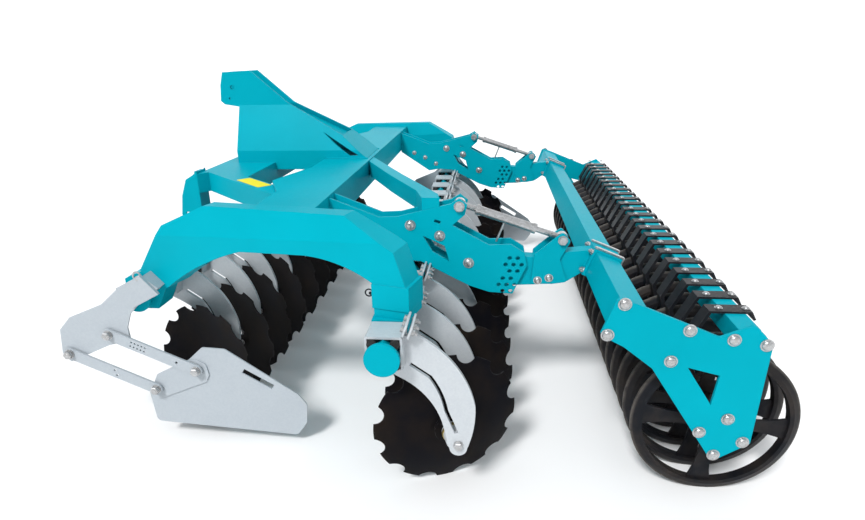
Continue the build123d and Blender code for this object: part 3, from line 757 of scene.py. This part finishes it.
def plant(name: str, stock: Stock, body: str,
          finish: Finish = Finish.ZINC) -> None:
    """Copy forms to their places and join them into one piece of a body.

    Args:
        name: the piece's name.
        stock: each form with the places of its copies.
        body: the body that the piece rides on.
        finish: its finish.
    """
    copies = []
    for form, places in stock:
        for place in places:
            copy = bpy.data.objects.new(name, form.data.copy())
            copy.data.transform(place.matrix())
            bpy.context.scene.collection.objects.link(copy)
            copies.append(copy)
    piece = joined(copies)
    piece.name = name
    bpy.ops.object.shade_smooth_by_angle(angle=math.radians(SMOOTH_BELOW))
    coat(piece, finish)
    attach(piece, body)
    log.info("%s: %d copies, %d faces", name, len(copies), len(piece.data.polygons))


@dataclass
class CarriedNodes:
    """The solid nodes that keep their own shape and get a finish by the start of their name."""

    finishes: tuple[tuple[str, Finish], ...] = (
        ("rear_disc_arms", Finish.SILVER), ("front_disc_arms", Finish.SILVER),
        ("rear_disc_", Finish.DISC), ("front_disc_", Finish.DISC),
        ("rear_arm_clamps", Finish.SILVER), ("front_arm_clamps", Finish.SILVER),
        ("rubber_cords", Finish.RUBBER), ("deflector_", Finish.PALE),
        ("ring_roller", Finish.RING), ("scrapers", Finish.BLACK),
        ("turnbuckle_", Finish.ZINC), ("roller_bearings", Finish.BLACK),
    )

    def dress(self) -> None:
        """Give each carried node its finish, teal where no name fits."""
        for name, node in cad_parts.items():
            finish = next((f for start, f in self.finishes if name.startswith(start)), Finish.TEAL)
            coat(node, finish)


@dataclass
class RollerFrameBolts:
    """What holds the roller frame together: bolts through its side plates and ears, straps on its saddles."""

    plate_outer_y: float = 1540.0
    plate_bolts: tuple[Pair, ...] = (
        (381, 798), (428, 685), (165, 709), (213, 593), (22, 679), (-83, 663), (-2, 375), (86, 317),
        (-64, 283), (26, 225))
    plate_thread: float = 0.018
    plate_gauge: float = 12.0
    inner_nut: Pair = (0.014, 0.004)
    ear_outer: float = 40.5
    ear_bolts: tuple[Pair, ...] = ((622, 677), (576, 689))
    ear_thread: float = 0.014
    eye_thread: float = 0.02
    beam_centre: Pair = (367.0, 746.0)
    beam_tilt: float = 22.5
    saddle_half: float = 60.0
    strap_offsets: Pair = (-46.0, 46.0)
    strap_width: float = 0.018
    strap_gauge: float = 0.009
    strap_end: float = 0.49  # the share of a strap's width that rounds its ends
    strap_bolts: Pair = (-42.0, 42.0)
    strap_nut: Pair = (0.012, 0.006)

    def tilted(self, along: float, above: float, y: float) -> Vector:
        """A point of the roller beam's own slanted axes.

        Args:
            along: how far it lies from the beam's middle along the beam's forward axis.
            above: how far it lies along the beam's upward axis.
            y: its place along Y.

        Returns:
            The point in the machine's frame.
        """
        turn = math.radians(self.beam_tilt)
        x = self.beam_centre[0] + along * math.cos(turn) - above * math.sin(turn)
        z = self.beam_centre[1] + along * math.sin(turn) + above * math.cos(turn)
        return spot(x, y, z)

    def build(self, hardware: Hardware) -> None:
        """Bolt the side plates, the ears and the saddles.

        Args:
            hardware: the forms to copy.
        """
        outer, inner, ear_places, eye_places = [], [], [], []
        for side in SIDES.values():
            out = Vector((0.0, side, 0.0))
            outer += [Place(spot(x, side * self.plate_outer_y, z), out) for x, z in self.plate_bolts]
            inner += [Place(spot(x, side * (self.plate_outer_y - self.plate_gauge), z), -out)
                      for x, z in self.plate_bolts[4:6]]  # the two with a nut inside
            for face in (1, -1):
                y = side * SUPPORT_Y + face * self.ear_outer
                facing = Vector((0.0, face, 0.0))
                ear_places += [Place(spot(x, y, z), facing) for x, z in self.ear_bolts]
                eye_places.append(Place(spot(EAR_EYE[0], y, EAR_EYE[1]), facing))
        plant("side_plate_bolts", [
            (hardware.domed_bolt(self.plate_thread), outer),
            (hardware.nut(*self.inner_nut), inner)], "roller_frame")
        plant("ear_bolts", [
            (hardware.domed_bolt(self.ear_thread), ear_places),
            (hardware.hex_bolt(self.eye_thread), eye_places)], "roller_frame")
        self.strap_saddles(hardware)

    def strap_saddles(self, hardware: Hardware) -> None:
        """Lay two straps over the top and the rear face of each saddle, with their bolts at the front.

        Args:
            hardware: the forms to copy.
        """
        turn = math.radians(self.beam_tilt)
        rearward = Vector((-math.cos(turn), 0.0, -math.sin(turn)))
        upward = Vector((-math.sin(turn), 0.0, math.cos(turn)))
        length = 2.0 * self.saddle_half * MM + self.strap_gauge
        strap = hardware.keep("strap", flat_bar(
            length, self.strap_width, self.strap_gauge, self.strap_width * self.strap_end))
        overhang = self.strap_gauge / MM / 2.0
        legs, bolts = [], []
        for side in SIDES.values():
            for offset in self.strap_offsets:
                y = side * SUPPORT_Y + offset
                legs.append(Place(self.tilted(-overhang, self.saddle_half, y), upward, rearward))
                legs.append(Place(self.tilted(-self.saddle_half, overhang, y), rearward, upward))
                bolts += [Place(self.tilted(self.saddle_half, above, y), -rearward)
                          for above in self.strap_bolts]
        plant("saddle_straps", [(strap, legs), (hardware.nut(*self.strap_nut), bolts)], "roller_frame")


@dataclass(frozen=True)
class DiscRow:
    """A row of discs: how many, where its gang and its first disc lie, and the side of its arms."""

    name: str
    count: int
    gang_x: float
    first_y: float
    arm_side: int


@dataclass
class Discs:
    """The discs' fasteners: heads and a cap in each hollow, a sleeve on each hub and a bolt on each arm."""

    rows: tuple[DiscRow, ...] = (
        DiscRow("rear", 12, 1165.0, 1465.0, 1), DiscRow("front", 11, 2270.0, 1140.0, -1))
    pitch: float = 250.0
    gang_ahead: float = 187.0
    disc_z: float = 279.11
    angle: float = 22.0
    tilt: float = 5.0
    hollow: float = 46.0
    bolt_circle: float = 45.0
    bolt_count: int = 5
    bolt_thread: float = 0.012
    tip_thread: float = 0.018
    arm_beside_disc: float = 134.8535
    arm_half: float = 7.0
    hub_end: Pair = (-241.5, 266.4)
    sleeve_start: float = 74.0
    sleeve_profile: tuple[Pair, ...] = (
        (0.0392, 0.0), (0.0404, 0.0015), (0.0404, 0.013), (0.0392, 0.0145))
    cap_profile: tuple[Pair, ...] = (
        (0.021, 0.0), (0.0205, 0.004), (0.016, 0.0085), (0.008, 0.0108))

    def build(self, hardware: Hardware) -> None:
        """Fasten each disc and each arm.

        Args:
            hardware: the forms to copy.
        """
        cap = hardware.keep("cap", turned(list(self.cap_profile), 16))
        sleeve = hardware.keep("sleeve", turned(list(self.sleeve_profile), 24))
        sleeves, tips = [], []
        yaw, pitch = math.radians(self.angle), math.radians(self.tilt)
        for row in self.rows:
            normal = Vector((-math.sin(yaw) * math.cos(pitch), row.arm_side * math.cos(yaw) * math.cos(pitch),
                             -math.sin(pitch)))
            level = UP.cross(normal).normalized()
            steep = normal.cross(level)
            for index in range(row.count):
                y = row.first_y - index * self.pitch
                rim = spot(row.gang_x - self.gang_ahead, y, self.disc_z)
                seat = rim + normal * self.hollow * MM
                heads = []
                for number in range(self.bolt_count):
                    round_hub = 2.0 * math.pi * number / self.bolt_count
                    out = level * math.cos(round_hub) + steep * math.sin(round_hub)
                    heads.append(Place(seat + out * self.bolt_circle * MM, -normal))
                disc = f"{row.name}_disc_{index + 1:02d}"
                plant(f"{disc}_bolts", [
                    (hardware.hex_bolt(self.bolt_thread), heads), (cap, [Place(seat, -normal)])], disc)
                sleeves.append(Place(rim + normal * self.sleeve_start * MM, normal))
                arm_face = y + row.arm_side * (self.arm_beside_disc + self.arm_half)
                tips.append(Place(spot(row.gang_x + self.hub_end[0], arm_face, self.hub_end[1]),
                                  Vector((0.0, row.arm_side, 0.0))))
        plant("hub_sleeves", [(sleeve, sleeves)], "frame", Finish.GOLD)
        plant("arm_tip_bolts", [(hardware.hex_bolt(self.tip_thread), tips)], "frame")


@dataclass
class ClampFlanges:
    """The two lips at the upper rear edge of each arm clamp, and the three bolts that draw them together."""

    lean: float = 21.0
    lip_centre: Pair = (-74.0, 733.0)
    lip_gap: float = 11.0
    lip_height: float = 0.046
    lip_width: float = 0.116
    lip_gauge: float = 0.008
    lip_corner: float = 0.006
    bolt_offsets: tuple[float, ...] = (-43.0, 0.0, 43.0)
    bolt_thread: float = 0.012
    bolt_stud: float = 0.009

    def build(self, hardware: Hardware, discs: Discs) -> None:
        """Put a pair of lips and three bolts on each clamp.

        Args:
            hardware: the forms to copy.
            discs: the rows that say where the clamps are.
        """
        lip = hardware.keep("lip", flat_bar(self.lip_height, self.lip_width, self.lip_gauge, self.lip_corner))
        turn = math.radians(self.lean)
        rearward = Vector((-math.cos(turn), 0.0, -math.sin(turn)))
        upward = Vector((-math.sin(turn), 0.0, math.cos(turn)))
        to_rear_lip = rearward * (self.lip_gap * MM + self.lip_gauge)
        lips, heads, nuts = [], [], []
        for row in discs.rows:
            for index in range(row.count):
                arm_y = row.first_y - index * discs.pitch + row.arm_side * discs.arm_beside_disc
                middle = spot(row.gang_x + self.lip_centre[0], arm_y, self.lip_centre[1])
                lips += [Place(middle, -rearward, upward), Place(middle + to_rear_lip, -rearward, upward)]
                for offset in self.bolt_offsets:
                    foot = middle + Vector((0.0, offset * MM, 0.0))
                    heads.append(Place(foot - rearward * self.lip_gauge, -rearward))
                    nuts.append(Place(foot + to_rear_lip, rearward))
        plant("clamp_lips", [(lip, lips)], "frame", Finish.SILVER)
        plant("clamp_bolts", [
            (hardware.hex_bolt(self.bolt_thread), heads),
            (hardware.nut(self.bolt_thread, self.bolt_stud), nuts)], "frame")


@dataclass
class CheekBolts:
    """The bolts through the cheeks behind the cross beam, on both faces of each cheek pair."""

    outer_face: float = 48.0
    small: tuple[Pair, ...] = ((1389, 882), (1309, 848), (1229, 802))
    small_thread: float = 0.012
    large: tuple[Pair, ...] = ((1150, 914), (1029, 870), (910, 753))
    large_thread: float = 0.018
    lug_thread: float = 0.022

    def build(self, hardware: Hardware) -> None:
        """Bolt both faces of both cheek pairs.

        Args:
            hardware: the forms to copy.
        """
        small, large, lugs = [], [], []
        for side in SIDES.values():
            for face in (1, -1):
                y = side * SUPPORT_Y + face * self.outer_face
                facing = Vector((0.0, face, 0.0))
                small += [Place(spot(x, y, z), facing) for x, z in self.small]
                large += [Place(spot(x, y, z), facing) for x, z in self.large]
                lugs.append(Place(spot(LUG_EYE[0], y, LUG_EYE[1]), facing))
        plant("cheek_bolts", [
            (hardware.domed_bolt(self.small_thread), small),
            (hardware.domed_bolt(self.large_thread), large),
            (hardware.hex_bolt(self.lug_thread), lugs)], "frame")


@dataclass
class CollarPins:
    """The dark ring pin beside the foot of each rear arch leg."""

    place: Pair = (1242.0, 792.0)
    leg_y: tuple[tuple[int, float], ...] = ((1, 1480.0), (-1, 1340.0))
    pin_length: float = 0.04
    pin_radius: float = 0.006
    tip_radius: float = 0.0045
    tip_length: float = 0.004
    ring_radius: float = 0.013
    ring_wire: float = 0.0028
    ring_drop: float = 0.002

    def build(self, hardware: Hardware) -> None:
        """Hang a ring on a short pin at each leg.

        Args:
            hardware: the forms to copy.
        """
        rings, pins = [], []
        for side, leg_y in self.leg_y:
            middle = spot(self.place[0], side * leg_y, self.place[1])
            rings.append(Place(middle, Vector((0.0, side, 0.0)), FORWARD))
            pins.append(Place(middle - FORWARD * self.pin_length, FORWARD))
        pin = hardware.keep("ring_pin", turned([
            (self.pin_radius, 0.0), (self.pin_radius, self.pin_length - self.tip_length),
            (self.tip_radius, self.pin_length)], 10))
        ring = hardware.wire_loop(self.ring_radius, self.ring_wire, self.ring_drop)
        plant("collar_pins", [(ring, rings), (pin, pins)], "frame", Finish.BLACK)


@dataclass
class DeflectorBolts:
    """The nuts on the link pins of the two side deflectors, and the set screws that hold their brackets."""

    brackets: tuple[tuple[str, float, float], ...] = (
        # side, place along Y, and how far its places along X differ from the left bracket's
        ("left", 1300.15, 0.0), ("right", -1450.15, -1105.0))
    nut_from_bracket: float = 19.5
    pin_nut: Pair = (0.02, 0.0005)
    frame_pins: tuple[Pair, ...] = ((2385, 510), (2577, 415))
    plate_pins: tuple[Pair, ...] = ((2030, 354), (2222, 259))
    screw: Pair = (2214, 752)
    screw_way: Triple = (0.3, 0.0, 0.95)
    screw_thread: float = 0.016
    clip_height: float = 0.03
    clip_radius: float = 0.016
    clip_wire: float = 0.004
    clip_drop: float = 0.014

    def build(self, hardware: Hardware) -> None:
        """Put a nut on each pin, and a set screw with its wire clip on each bracket.

        Args:
            hardware: the forms to copy.
        """
        nut = hardware.nut(*self.pin_nut)
        screw = hardware.hex_bolt(self.screw_thread)
        loop = hardware.wire_loop(self.clip_radius, self.clip_wire, self.clip_drop)
        for label, bracket_y, shift in self.brackets:
            side = SIDES[label]
            out = Vector((0.0, side, 0.0))
            y = bracket_y + side * self.nut_from_bracket
            fixed = [Place(spot(x + shift, y, z), out) for x, z in self.frame_pins]
            moving = [Place(spot(x + shift, y, z), out) for x, z in self.plate_pins]
            foot = spot(self.screw[0] + shift, bracket_y, self.screw[1])
            way = Vector(self.screw_way)
            clip = [Place(foot + way * self.clip_height, out, Vector((way.z, 0.0, -way.x)) * -side)]
            plant(f"bracket_nuts_{label}", [(nut, fixed), (screw, [Place(foot, way)]), (loop, clip)], "frame")
            plant(f"deflector_nuts_{label}", [(nut, moving)], f"deflector_plate_{label}")


@dataclass
class ScraperBolts:
    """Two domed bolts on each scraper bar, one each side of the beam, and one pair more past the last bar."""

    count: int = 24
    first_y: float = 1375.0
    pitch: float = 125.0
    places: Pair = (-72.0, 20.0)
    top_z: float = 719.0
    thread: float = 0.011

    def build(self, hardware: Hardware) -> None:
        """Lay the bolts in their two lines.

        Args:
            hardware: the forms to copy.
        """
        feet = [Place(spot(x, self.first_y - index * self.pitch, self.top_z), UP)
                for index in range(self.count) for x in self.places]
        bolt = hardware.domed_bolt(self.thread)
        plant("scraper_bolts", [(bolt, feet)], "roller_frame")


@dataclass
class TurnbuckleThreads:
    """The threads that show at both ends of each turnbuckle's barrel."""

    radius: float = 0.0122
    pitch: float = 0.0035
    front_stretch: Pair = (0.026, 0.069)
    rear_stretch: Pair = (0.366, 0.416)

    def build(self, hardware: Hardware) -> None:
        """Cut the threads of both turnbuckles.

        Args:
            hardware: the forms to copy.
        """
        for label, side in SIDES.items():
            front = spot(LUG_EYE[0], side * SUPPORT_Y, LUG_EYE[1])
            rear = spot(EAR_EYE[0], side * SUPPORT_Y, EAR_EYE[1])
            way = (rear - front).normalized()
            for part, (start, end) in (("barrel", self.front_stretch), ("rod", self.rear_stretch)):
                form = hardware.screw_thread(self.radius, end - start, self.pitch)
                plant(f"{part}_thread_{label}", [(form, [Place(front + way * start, way)])],
                      f"turnbuckle_{part}_{label}")


@dataclass
class Welds:
    """The painted beads along the seams that show."""

    radius: float = 0.0045
    seams: tuple[tuple[Triple, Triple], ...] = (
        ((1500, 169, 1037), (1740, 169, 1037)),
        ((1500, -169, 1037), (1740, -169, 1037)),
        ((1484, 964, 905), (1484, 964, 1030)),
        ((1484, 1036, 905), (1484, 1036, 1030)),
        ((1484, -964, 905), (1484, -964, 1030)),
        ((1484, -1036, 905), (1484, -1036, 1030)),
    )
    roller_seams: tuple[tuple[float, float, float, float], ...] = (
        # start and end along and above the roller beam's own axes
        (50.0, 51.0, -50.0, 51.0),
        (51.0, 50.0, 51.0, -50.0),
    )
    plate_inner_y: float = 1527.0

    def build(self, hardware: Hardware, roller: RollerFrameBolts) -> None:
        """Lay the beads.

        Args:
            hardware: the forms to copy.
            roller: gives the slanted axes of the roller beam.
        """
        fixed = [(spot(*start), spot(*end)) for start, end in self.seams]
        swinging = []
        for side in SIDES.values():
            y = side * self.plate_inner_y
            swinging += [(roller.tilted(a, b, y), roller.tilted(c, d, y)) for a, b, c, d in self.roller_seams]
        for body, runs in (("frame", fixed), ("roller_frame", swinging)):
            stock = [(hardware.weld_bead((end - start).length, self.radius), [Place(start, end - start)])
                     for start, end in runs]
            plant(f"{body}_welds", stock, body, Finish.TEAL)


@dataclass
class BlankLabel:
    """The yellow label on the left diagonal, left blank."""

    middle: Triple = (1945.0, 701.0, 1015.2)
    length: float = 0.235
    width: float = 0.07
    film: float = 0.0006
    corner: float = 0.006
    slope: float = 0.9325

    def build(self, hardware: Hardware) -> None:
        """Stick the label down.

        Args:
            hardware: keeps the form until the copies are made.
        """
        film = hardware.keep("label", flat_bar(self.length, self.width, self.film, self.corner))
        along = Vector((-1.0, self.slope, 0.0))
        plant("blank_label", [(film, [Place(spot(*self.middle), UP, along)])], "frame", Finish.YELLOW)


@dataclass
class Studio:
    """A plain pale floor under soft light, and the camera where the photograph was taken."""

    backdrop: tuple[Pair, ...] = (
        # radius and height
        (30.0, 0.0), (32.5, 0.6), (34.5, 2.2), (36.0, 5.0), (36.5, 9.0), (36.5, 24.0))
    eye: Triple = (0.824, 3.317, 1.585)
    yaw: float = 5.96
    pitch: float = 19.82
    roll: float = -1.14
    focal_pixels: float = 578.1
    image_width: float = 865.0
    sensor: float = 36.0
    floor_dark: Colour = grey(0.9)
    floor_light: Colour = grey(0.93)
    floor_scale: float = 0.6
    floor_roughness: float = 0.85
    sky_colour: Colour = (0.94, 0.97, 1.0, 1.0)
    sky_strength: float = 0.7
    sun_from: Triple = (0.25, 0.62, 0.74)
    sun_width: float = 12.0
    sun_strength: float = 2.6

    def build(self) -> None:
        """Lay the floor, set the sky and the sun, and aim the camera."""
        self.lay_floor()
        self.light()
        self.aim()

    def lay_floor(self) -> None:
        """A plain pale floor that rises to a round backdrop, neither of them part of the object."""
        floor = turned(list(self.backdrop), 64)
        floor.name = "floor"
        bpy.ops.object.mode_set(mode="EDIT")
        bpy.ops.mesh.select_mode(type="FACE")
        bpy.ops.mesh.select_all(action="DESELECT")
        bpy.ops.object.mode_set(mode="OBJECT")
        lid = self.backdrop[-1][1] - 0.01
        for face in floor.data.polygons:
            face.select = face.center.z > lid
        bpy.ops.object.mode_set(mode="EDIT")
        bpy.ops.mesh.delete(type="ONLY_FACE")
        bpy.ops.object.mode_set(mode="OBJECT")
        s = Shader("floor_paint")
        tone = s.blend(self.floor_dark, self.floor_light, s.noise(self.floor_scale, 2.0))
        floor.data.materials.append(s.set(Base_Color=tone, Roughness=self.floor_roughness))

    def light(self) -> None:
        """A bright even sky, a soft high sun from behind the camera's left shoulder, and a plain view."""
        world = bpy.data.worlds.new("studio_sky")
        world.use_nodes = True
        sky = world.node_tree.nodes["Background"].inputs
        sky["Color"].default_value = self.sky_colour
        sky["Strength"].default_value = self.sky_strength
        bpy.context.scene.world = world
        bpy.context.scene.view_settings.view_transform = "Standard"
        sun = bpy.data.lights.new("sun", "SUN")
        sun.energy = self.sun_strength
        sun.angle = math.radians(self.sun_width)
        holder = bpy.data.objects.new("sun", sun)
        holder.rotation_euler = (-Vector(self.sun_from)).to_track_quat("-Z", "Y").to_euler()
        bpy.context.scene.collection.objects.link(holder)

    def aim(self) -> None:
        """Set the camera from its fitted place, its three angles and its focal length."""
        yaw, pitch, roll = (math.radians(a) for a in (self.yaw, self.pitch, self.roll))
        forward = Vector((
            math.sin(yaw) * math.cos(pitch), -math.cos(yaw) * math.cos(pitch), -math.sin(pitch)))
        level = Vector((-math.cos(yaw), -math.sin(yaw), 0.0))
        upright = level.cross(forward)
        right = math.cos(roll) * level + math.sin(roll) * upright
        up = -math.sin(roll) * level + math.cos(roll) * upright
        lens = bpy.data.cameras.new("view")
        lens.sensor_fit = "HORIZONTAL"
        lens.sensor_width = self.sensor
        lens.lens = self.focal_pixels / self.image_width * self.sensor
        camera = bpy.data.objects.new("view", lens)
        turn = Matrix((right, up, -forward)).transposed().to_4x4()
        camera.matrix_world = Matrix.Translation((fore(self.eye[0]), self.eye[1], self.eye[2])) @ turn
        bpy.context.scene.collection.objects.link(camera)
        bpy.context.scene.camera = camera


def main() -> None:
    """Build the studio, dress the carried nodes and add the modelled pieces."""
    logging.basicConfig(level=logging.INFO)
    Studio().build()
    log.info("studio")
    CarriedNodes().dress()
    log.info("carried nodes")
    hardware = Hardware()
    roller_bolts = RollerFrameBolts()
    discs = Discs()
    roller_bolts.build(hardware)
    discs.build(hardware)
    ClampFlanges().build(hardware, discs)
    CheekBolts().build(hardware)
    CollarPins().build(hardware)
    DeflectorBolts().build(hardware)
    ScraperBolts().build(hardware)
    TurnbuckleThreads().build(hardware)
    Welds().build(hardware, roller_bolts)
    BlankLabel().build(hardware)
    hardware.retire()


if __name__ == "__main__":
    main()
